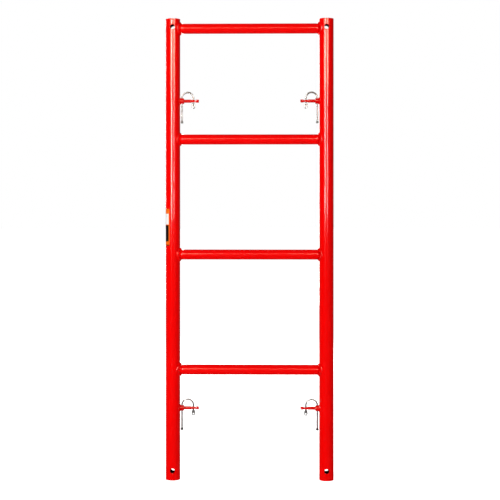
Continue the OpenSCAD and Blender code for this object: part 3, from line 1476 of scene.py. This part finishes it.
@dataclass
class Sticker(Piece):
    """A thin printed sticker with round corners, wrapped round the outer side of the left leg."""

    form = "print"
    slot = "label_film"
    wrap: float = math.radians(132)
    thickness: float = 0.2 * MM
    corner: float = 2.0 * MM
    columns: int = 64
    rings: int = 96

    @property
    def node(self) -> str:
        """The one sticker."""
        return "sticker"

    def finish(self, finishes: Finishes) -> bpy.types.Material:
        """Printed film."""
        return finishes.label

    def shape(self, mesh: bmesh.types.BMesh) -> None:
        """Builds a thin closed shell that carries its print's coordinates.

        Args:
            mesh: the empty mesh.
        """
        low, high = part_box("sticker")
        tall = high[2] - low[2]
        up = mesh.verts.layers.float.new(PRINT_UP)
        across = mesh.verts.layers.float.new(PRINT_ACROSS)
        wide = self.wrap * self.sizes.leg_r

        def face(radius: float) -> list[list[bmesh.types.BMVert]]:
            """Builds the vertices of one face.

            Args:
                radius: the face's distance from the leg's centre line.

            Returns:
                The face's rows, from its foot to its top.
            """
            rows = []
            for i in range(self.rings + 1):
                v = i / self.rings
                edge = min(v, 1 - v) * tall
                trim = 0.0
                if edge < self.corner:
                    trim = self.corner - math.sqrt(self.corner**2 - (self.corner - edge) ** 2)
                row = []
                for j in range(self.columns + 1):
                    s = j / self.columns
                    run = (s - 0.5) * (wide - 2 * trim)
                    turn = math.pi - run / self.sizes.leg_r
                    vert = mesh.verts.new((-self.sizes.leg_x + radius * math.cos(turn),
                                           -radius * math.sin(turn), low[2] + tall * v))
                    vert[up] = v
                    vert[across] = run / wide + 0.5
                    row.append(vert)
                rows.append(row)
            return rows

        outer = face(self.sizes.leg_r + self.thickness)
        inner = face(self.sizes.leg_r + 0.02 * MM)
        for rows in (outer, inner):
            for one, other in zip(rows, rows[1:]):
                bridge(mesh, one, other, closed=False)
        border = [(0, j) for j in range(self.columns)]
        border += [(i, self.columns) for i in range(self.rings)]
        border += [(self.rings, j) for j in range(self.columns, 0, -1)]
        border += [(i, 0) for i in range(self.rings, 0, -1)]
        bridge(mesh, [outer[i][j] for i, j in border], [inner[i][j] for i, j in border])


# ---------------------------------------------------------------------------------------------
# Stage and assembly
# ---------------------------------------------------------------------------------------------


@dataclass(frozen=True)
class Lamp:
    """An area light: a strip that only gloss shows, or a softbox that only fills.

    A strip faces straight back across the frame, and a softbox faces the frame's middle.
    """

    name: str
    at: tuple[float, float, float]
    size: tuple[float, float]
    power: float
    tint: Colour = WHITE
    strip: bool = False

    def hang(self, middle: Vector) -> None:
        """Adds the light to the scene.

        Args:
            middle: the middle of the frame.
        """
        data = bpy.data.lights.new(self.name, "AREA")
        data.shape = "RECTANGLE" if self.strip else "ELLIPSE"
        data.size, data.size_y = self.size
        data.energy = self.power
        data.color = self.tint
        lamp = bpy.data.objects.new(self.name, data)
        lamp.location = self.at
        aim = Vector((self.at[0], 0.0, self.at[2])) if self.strip else middle
        lamp.rotation_euler = (aim - Vector(self.at)).to_track_quat("-Z", "Y").to_euler()
        lamp.visible_glossy = self.strip
        lamp.visible_diffuse = not self.strip
        bpy.context.scene.collection.objects.link(lamp)


PALE: Colour = (1.0, 0.95, 0.9)
WARM: Colour = (1.0, 0.71, 0.45)
LAMPS = (
    Lamp("left_strip", (-1.4, -3.8, 2.03), (0.42, 2.56), 165.0, PALE, strip=True),
    Lamp("right_strip", (1.2, -3.8, 2.03), (0.42, 2.56), 95.0, PALE, strip=True),
    Lamp("left_high_strip", (-1.75, -3.8, 2.0), (2.8, 0.8), 72.0, WARM, strip=True),
    Lamp("middle_high_strip", (-0.03, -3.8, 2.0), (0.65, 0.4), 5.0, WARM, strip=True),
    Lamp("right_high_strip", (1.5, -3.8, 2.0), (2.4, 0.8), 62.0, WARM, strip=True),
    Lamp("back_strip", (-0.9, 3.8, 1.6), (0.5, 2.8), 90.0, PALE, strip=True),
    Lamp("key_softbox", (-1.7, -3.2, 1.5), (1.8, 2.0), 98.0),
    Lamp("side_softbox", (2.4, -2.6, 1.2), (1.4, 2.2), 12.0),
    Lamp("overhead_softbox", (0.0, -0.6, 3.6), (2.4, 2.4), 11.0),
    Lamp("back_softbox", (0.4, 3.2, 1.8), (2.0, 2.0), 80.0),
)


@dataclass
class Stage:
    """The pale floor, the soft surround, the lights and the camera."""

    sizes: FrameSizes
    distance: float = 3.55
    eye_height: float = 0.813
    eye_across: float = 0.07
    aim_across: float = 1.2 * MM
    lens: float = 85.8
    sensor: float = 36.0
    shift_down: float = 0.087
    fill: float = 0.27
    mirrored_front: float = 0.012
    mirrored_back: float = MIRRORED_BACK
    floor_r: float = 40.0
    floor_drop: float = 0.2 * MM

    def _world(self) -> None:
        """A white surround for the eye, and a softer one for the light that it gives."""
        world = bpy.data.worlds.new("studio")
        world.use_nodes = True
        tree = world.node_tree
        w = Wiring(tree)
        back = tree.nodes["Background"]
        back.inputs["Color"].default_value = (*WHITE, 1.0)
        path = w.node("ShaderNodeLightPath")
        heading = w.node("ShaderNodeSeparateXYZ")
        w.link(w.node("ShaderNodeTexCoord").outputs["Generated"], heading.inputs["Vector"])
        behind = w.ramp(heading.outputs["Y"], 0.0, 0.55, self.mirrored_front, self.mirrored_back)
        mirrored = w.math("MULTIPLY", path.outputs["Is Glossy Ray"], w.math("SUBTRACT", behind, self.fill))
        seen = w.math("MULTIPLY", path.outputs["Is Camera Ray"], 1.0 - self.fill)
        w.link(w.math("ADD", w.math("ADD", mirrored, seen), self.fill), back.inputs["Strength"])
        world.cycles.sampling_method = "NONE"
        bpy.context.scene.world = world

    def _floor(self, finishes: Finishes) -> None:
        """Lays a wide round floor just under the feet.

        Args:
            finishes: the built finishes.
        """
        mesh = bmesh.new()
        bmesh.ops.create_circle(mesh, cap_ends=True, segments=96, radius=self.floor_r)
        floor = finished(mesh, "studio_floor", finishes.floor)
        floor.location = (0.0, 0.0, CAD_BOX[0][2] - self.floor_drop)

    def _camera(self) -> None:
        """Sets up the camera, level and in front of the frame."""
        data = bpy.data.cameras.new("studio_camera")
        data.lens = self.lens
        data.sensor_width = self.sensor
        data.shift_y = -self.shift_down
        camera = bpy.data.objects.new("studio_camera", data)
        camera.location = (self.eye_across, -self.distance, self.eye_height)
        turn = math.atan2(self.eye_across - self.aim_across, self.distance)
        camera.rotation_euler = (math.pi / 2, 0.0, turn)
        bpy.context.scene.collection.objects.link(camera)
        bpy.context.scene.camera = camera

    def build(self, finishes: Finishes) -> None:
        """Sets the stage.

        Args:
            finishes: the built finishes.
        """
        self._world()
        self._floor(finishes)
        for lamp in LAMPS:
            lamp.hang(Vector((0.0, 0.0, self.sizes.height / 2)))
        self._camera()
        bpy.context.scene.view_settings.view_transform = "Standard"


@dataclass
class EndFrame:
    """The whole end frame, built piece by piece."""

    sizes: FrameSizes
    finishes: Finishes
    rung_run: float = 5.0 * MM
    stud_run: float = 2.3 * MM
    collar_r: float = 8.5 * MM

    def build(self) -> list[bpy.types.Object]:
        """Builds every piece.

        Returns:
            The visible pieces, in the order of their making.
        """
        sizes = self.sizes
        pieces: list[Piece] = [Leg(sizes, side) for side in Side]
        pieces += [Rung(sizes, number) for number in range(1, len(sizes.rung_heights) + 1)]
        for side in Side:
            for number, height in enumerate(sizes.rung_heights, 1):
                pieces.append(WeldRun(sizes, side, height, sizes.rung_r, self.rung_run,
                                      f"weld_{side.word}_{number}"))
            for level, height in sizes.stud_heights.items():
                pieces.append(WeldRun(sizes, side, height, self.collar_r, self.stud_run,
                                      f"stud_weld_{level.value}_{side.word}",
                                      pitch=2.0 * MM, around=180))
                pieces += [BraceStud(sizes, side, level), DropLock(sizes, side, level)]
        pieces.append(Sticker(sizes))
        return [piece.build(self.finishes) for piece in pieces]


def main() -> None:
    """Builds the end frame and its stage."""
    logging.basicConfig(level=logging.INFO, format="%(name)s: %(message)s")
    sizes = FrameSizes.measured()
    finishes = Finishes.mixed_up()
    pieces = EndFrame(sizes, finishes).build()
    Stage(sizes).build(finishes)
    LOG.info("%d pieces built", len(pieces))


if __name__ == "__main__":
    main()
